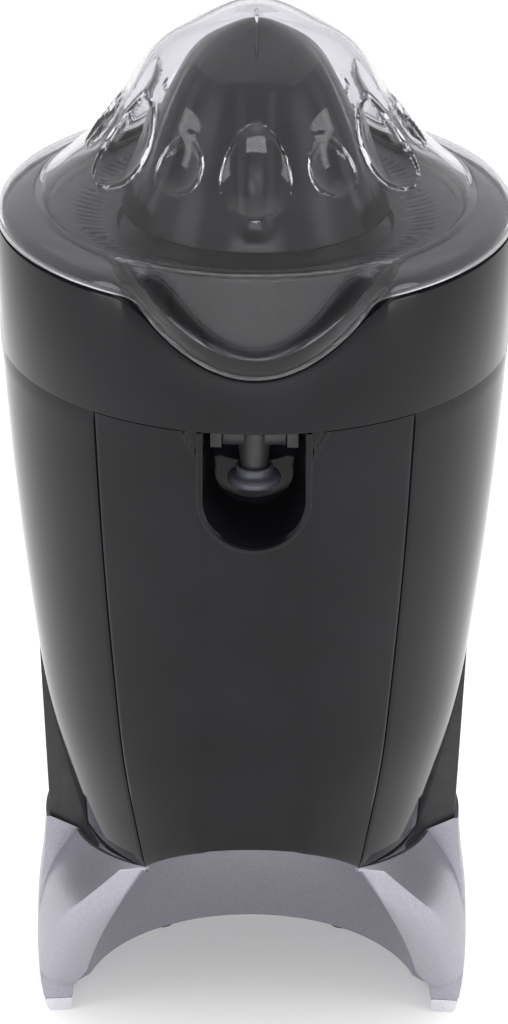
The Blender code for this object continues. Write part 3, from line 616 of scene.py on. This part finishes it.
def make_spout():
    centre = (0.0, SPOUT_Y)
    tube = turned("drip_tube", [(4.4, 207), (4.2, 200), (3.6, 195), (3.6, 190.6), (2.4, 190.6),
                                (2.4, 207)], corner=0.3, count=64, centre=centre)
    tip = turned("drip_tip", [(5.0, 195.2), (5.0, 192.9), (6.6, 192.6), (7.2, 191.8), (6.8, 190.2),
                              (3.9, 190.2), (3.9, 195.2)], corner=0.5, count=64, centre=centre)
    return tube, tip


def make_barrel(name, side):
    """Half of the spout's hinge barrel, round one of its pins."""
    barrel = turned(name, [(4.7, 8.4), (4.7, 2.6), (1.7, 2.6), (1.7, 8.4)], count=48)
    place = Matrix.Translation(Vector((0, SPOUT_Y, SPOUT_Z)) * MM)
    barrel.data.transform(place @ Matrix.Rotation(side * math.pi / 2, 4, "Y"))
    return barrel


def make_return_coil():
    """The carriage's return spring, with the same wire and turns as its CAD node."""
    rows = []
    for t in steps(0, 1, 180):
        angle = 2 * math.pi * SPRING_TURNS * t
        out = Vector((math.cos(angle), math.sin(angle), 0))
        height = SPRING_LOW + SPRING_WIRE_R + (SPRING_HIGH - SPRING_LOW - 2 * SPRING_WIRE_R) * t
        ring = [out * (SPRING_R + SPRING_WIRE_R * math.cos(a))
                + Vector((0, 0, height + SPRING_WIRE_R * math.sin(a)))
                for a in steps(0, 2 * math.pi, 12)[:-1]]
        rows.append(ring)
    return skin("return_coil", rows, caps=True)


# ---------------------------------------------------------------- materials

class Look:
    """A Principled material with procedural variation, measured in millimetres."""

    def __init__(self, name, colour, roughness, **sockets):
        self.material = bpy.data.materials.new("look_" + name)
        self.material.use_nodes = True
        self.nodes = self.material.node_tree.nodes
        self.links = self.material.node_tree.links
        self.shader = self.nodes["Principled BSDF"]
        self.set("Base Color", (*colour, 1.0))
        self.set("Roughness", roughness)
        for socket, value in sockets.items():
            self.set(socket.replace("_", " "), value)

    def set(self, socket, value):
        self.shader.inputs[socket].default_value = value

    def noise(self, size, stretch=(1.0, 1.0, 1.0), detail=4.0):
        """A noise whose features are about size millimetres across."""
        place = self.nodes.new("ShaderNodeTexCoord")
        mapping = self.nodes.new("ShaderNodeMapping")
        mapping.inputs["Scale"].default_value = [s / MM for s in stretch]
        texture = self.nodes.new("ShaderNodeTexNoise")
        texture.inputs["Scale"].default_value = 1 / size
        texture.inputs["Detail"].default_value = detail
        self.links.new(place.outputs["Object"], mapping.inputs["Vector"])
        self.links.new(mapping.outputs["Vector"], texture.inputs["Vector"])
        return texture.outputs["Fac"]

    def bands(self, pitch, direction):
        place = self.nodes.new("ShaderNodeTexCoord")
        mapping = self.nodes.new("ShaderNodeMapping")
        mapping.inputs["Scale"].default_value = [1 / MM] * 3
        texture = self.nodes.new("ShaderNodeTexWave")
        texture.bands_direction = direction
        texture.inputs["Scale"].default_value = 0.314 / pitch
        self.links.new(place.outputs["Object"], mapping.inputs["Vector"])
        self.links.new(mapping.outputs["Vector"], texture.inputs["Vector"])
        return texture.outputs["Fac"]

    def ranged(self, factor, low, high, socket="Roughness"):
        spread = self.nodes.new("ShaderNodeMapRange")
        spread.inputs["From Min"].default_value = 0.3
        spread.inputs["From Max"].default_value = 0.7
        spread.inputs["To Min"].default_value = low
        spread.inputs["To Max"].default_value = high
        self.links.new(factor, spread.inputs["Value"])
        self.links.new(spread.outputs["Result"], self.shader.inputs[socket])
        return self

    def coloured(self, factor, first, second):
        ramp = self.nodes.new("ShaderNodeValToRGB")
        ramp.color_ramp.elements[0].position = 0.35
        ramp.color_ramp.elements[0].color = (*first, 1.0)
        ramp.color_ramp.elements[1].position = 0.65
        ramp.color_ramp.elements[1].color = (*second, 1.0)
        self.links.new(factor, ramp.inputs["Fac"])
        self.links.new(ramp.outputs["Color"], self.shader.inputs["Base Color"])
        return self

    def relief(self, factor, height, strength=1.0):
        """Bump of a height in millimetres. A second call adds to the first."""
        bump = self.nodes.new("ShaderNodeBump")
        bump.inputs["Strength"].default_value = strength
        bump.inputs["Distance"].default_value = height * MM
        normal = self.shader.inputs["Normal"]
        if normal.is_linked:
            self.links.new(normal.links[0].from_socket, bump.inputs["Normal"])
        self.links.new(factor, bump.inputs["Height"])
        self.links.new(bump.outputs["Normal"], normal)
        return self


def make_looks():
    gloss = Look("gloss_black", (0.0045, 0.0045, 0.0055), 0.09, IOR=1.28)
    gloss.ranged(gloss.noise(9), 0.06, 0.12).relief(gloss.noise(5, detail=1), 0.010, 0.3)
    gloss.coloured(gloss.noise(30), (0.004, 0.004, 0.005), (0.006, 0.006, 0.0075))

    matte = Look("matte_black", (0.02, 0.02, 0.022), 0.5)
    matte.coloured(matte.noise(6), (0.019, 0.019, 0.021), (0.022, 0.022, 0.024))
    matte.ranged(matte.noise(2), 0.42, 0.6).relief(matte.noise(0.35), 0.05, 0.5)

    cone = Look("smoked_cone", (0.008, 0.008, 0.009), 0.2, IOR=1.28)
    cone.ranged(cone.noise(4), 0.17, 0.26).relief(cone.noise(3, detail=1), 0.02, 0.3)
    cone.coloured(cone.noise(12), (0.006, 0.006, 0.007), (0.011, 0.011, 0.012))

    clear = Look("clear", (0.85, 0.845, 0.88), 0.03, IOR=1.33, Transmission_Weight=1.0,
                 Sheen_Weight=0.1, Sheen_Roughness=0.6)
    clear.ranged(clear.noise(14), 0.01, 0.05).relief(clear.noise(7, detail=1), 0.012, 0.3)

    silver = Look("silver", (0.42, 0.41, 0.46), 0.36, Metallic=0.75)
    silver.coloured(silver.noise(0.25, detail=2), (0.30, 0.29, 0.335), (0.41, 0.40, 0.45))
    silver.ranged(silver.noise(0.6), 0.3, 0.44).relief(silver.noise(0.3), 0.012, 0.4)

    bright = Look("bright_toe", (0.7, 0.7, 0.74), 0.2, Metallic=0.9)
    bright.coloured(bright.noise(0.4), (0.62, 0.62, 0.66), (0.76, 0.76, 0.8))
    bright.ranged(bright.noise(1.2), 0.15, 0.28)

    silicone = Look("silicone", (0.05, 0.052, 0.064), 0.35, Subsurface_Weight=0.4,
                    Subsurface_Scale=0.003)
    silicone.coloured(silicone.noise(3), (0.042, 0.044, 0.054), (0.058, 0.061, 0.075))
    silicone.ranged(silicone.noise(2), 0.28, 0.45).relief(silicone.noise(0.6), 0.03, 0.4)

    rubber = Look("rubber", (0.02, 0.02, 0.02), 0.75)
    rubber.coloured(rubber.noise(1.5), (0.015, 0.015, 0.015), (0.032, 0.031, 0.03))
    rubber.ranged(rubber.noise(1), 0.65, 0.85).relief(rubber.noise(0.3), 0.05, 0.5)

    steel = Look("steel", (0.55, 0.55, 0.56), 0.28, Metallic=1.0, Anisotropic=0.4)
    steel.coloured(steel.noise(0.5, (1, 1, 0.05)), (0.48, 0.48, 0.49), (0.62, 0.62, 0.63))
    steel.ranged(steel.noise(0.4, (1, 1, 0.05)), 0.2, 0.38)

    lamination = Look("lamination", (0.22, 0.22, 0.24), 0.45, Metallic=0.9)
    lamination.coloured(lamination.noise(2), (0.17, 0.17, 0.19), (0.28, 0.28, 0.3))
    lamination.relief(lamination.bands(0.5, "Z"), 0.12, 0.7)

    copper = Look("copper", (0.62, 0.26, 0.12), 0.3, Metallic=1.0)
    copper.coloured(copper.noise(1.5), (0.52, 0.2, 0.09), (0.72, 0.34, 0.16))
    copper.relief(copper.bands(0.6, "Z"), 0.2, 0.8)

    bronze = Look("bronze", (0.5, 0.34, 0.15), 0.38, Metallic=1.0)
    bronze.coloured(bronze.noise(0.5), (0.38, 0.25, 0.11), (0.58, 0.41, 0.19))
    bronze.relief(bronze.noise(0.3), 0.04, 0.5)

    nylon = Look("nylon", (0.8, 0.79, 0.74), 0.42, Subsurface_Weight=0.15, Subsurface_Scale=0.002)
    nylon.coloured(nylon.noise(5), (0.76, 0.75, 0.69), (0.83, 0.82, 0.78))
    nylon.ranged(nylon.noise(1.5), 0.35, 0.5)

    return {"gloss_black": gloss, "matte_black": matte, "smoked_cone": cone, "clear": clear,
            "silver": silver, "bright_toe": bright, "silicone": silicone, "rubber": rubber,
            "steel": steel, "lamination": lamination, "copper": copper, "bronze": bronze,
            "nylon": nylon}


# ---------------------------------------------------------------- assembly

LOOKS = make_looks()
SLOT_OF = {part["node"]: part["material_slot"] for part in frame["record"]["subparts"]}
BODY_OF = {node: body for body, nodes in frame["record"]["behaviour"]["bodies"].items()
           for node in nodes}


def stand_for(piece, node, look=None):
    """piece replaces a CAD node, which is hidden: it takes that node's body and the look of its slot, or
    the look given.
    """
    slot = SLOT_OF[node]
    piece.data.materials.append(LOOKS[look or slot].material)
    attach(piece, BODY_OF[node])
    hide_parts(node)


def add_extra(piece, body, slot):
    """A fine piece that stands for no CAD node of its own."""
    piece.data.materials.append(LOOKS[slot].material)
    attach(piece, body)


def paint_frame():
    for node, obj in frame["nodes"].items():
        obj.data.materials.clear()
        obj.data.materials.append(LOOKS[SLOT_OF[node]].material)


def add_pieces():
    stand_for(make_front_panel(), "front_panel")
    stand_for(make_side_panel("side_shell_right", 1), "side_panel_right")
    stand_for(make_side_panel("side_shell_left", -1), "side_panel_left")
    stand_for(make_rear_cover(), "rear_cover")
    stand_for(make_recess(), "recess_liner")
    stand_for(make_base(), "base_stand")
    stand_for(make_toe("toe_right", 1), "toe_cap_right", "bright_toe")
    stand_for(make_toe("toe_left", -1), "toe_cap_left", "bright_toe")
    stand_for(make_bowl(), "juice_bowl")
    stand_for(make_strainer(), "strainer")
    stand_for(make_cone(), "large_cone")
    stand_for(make_small_cone(), "small_cone")
    stand_for(make_cover(), "dust_cover")
    tube, tip = make_spout()
    stand_for(tube, "spout_tube")
    stand_for(tip, "spout_tip")
    coil = make_return_coil()
    stand_for(coil, "return_spring")
    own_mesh(coil)
    add_extra(make_barrel("hinge_barrel_left", -1), "spout", "matte_black")
    add_extra(make_barrel("hinge_barrel_right", 1), "spout", "matte_black")
    add_extra(make_recess_rim(), "root", "gloss_black")


# ---------------------------------------------------------------- floor, light and camera

def add_floor():
    bm = bmesh.new()
    bmesh.ops.create_grid(bm, x_segments=1, y_segments=1, size=6.0)
    floor = finish_mesh("floor", bm)
    look = Look("floor", (0.9, 0.9, 0.9), 0.6, Emission_Strength=0.15)
    look.set("Emission Color", (1.0, 1.0, 1.0, 1.0))
    floor.data.materials.append(look.material)


def add_softbox(name, azimuth, height, distance, width, length, power):
    """An area light that faces the middle of the object."""
    lamp = bpy.data.lights.new(name, "AREA")
    lamp.shape = "RECTANGLE"
    lamp.size = width
    lamp.size_y = length
    lamp.energy = power
    obj = bpy.data.objects.new(name, lamp)
    bpy.context.scene.collection.objects.link(obj)
    target = Vector((0, 0, TARGET_Z * MM))
    obj.location = polar(distance, azimuth, height)
    obj.rotation_euler = (target - obj.location).to_track_quat("-Z", "Y").to_euler()
    return obj


def add_light():
    world = bpy.data.worlds.new("studio")
    world.use_nodes = True
    background = world.node_tree.nodes["Background"]
    background.inputs["Color"].default_value = (1.0, 1.0, 1.0, 1.0)
    background.inputs["Strength"].default_value = 1.15
    bpy.context.scene.world = world
    world.cycles_visibility.glossy = False
    bpy.context.scene.view_settings.view_transform = "Standard"
    add_softbox("soft_left", -62, 0.45, 1.3, 0.45, 1.1, 5)
    add_softbox("soft_right", 62, 0.45, 1.3, 0.45, 1.1, 5)
    add_softbox("soft_top", 180, 1.7, 0.5, 1.8, 1.8, 3)
    fill = add_softbox("soft_front", 0, 0.42, 1.25, 0.9, 0.35, 9)
    fill.visible_glossy = False


def add_camera():
    camera = bpy.data.objects.new("camera", bpy.data.cameras.new("camera"))
    bpy.context.scene.collection.objects.link(camera)
    camera.data.lens = LENS
    camera.data.sensor_width = 36.0
    tilt = math.radians(ELEVATION)
    back = Vector((0, -math.cos(tilt), math.sin(tilt)))
    camera.location = Vector((0, 0, TARGET_Z)) * MM + back * CAMERA_DISTANCE * MM
    turn = (-back).to_track_quat("-Z", "Y").to_matrix().to_4x4()
    camera.rotation_euler = (turn @ Matrix.Rotation(math.radians(ROLL), 4, "Z")).to_euler()
    bpy.context.scene.camera = camera


paint_frame()
add_pieces()
add_floor()
add_light()
add_camera()
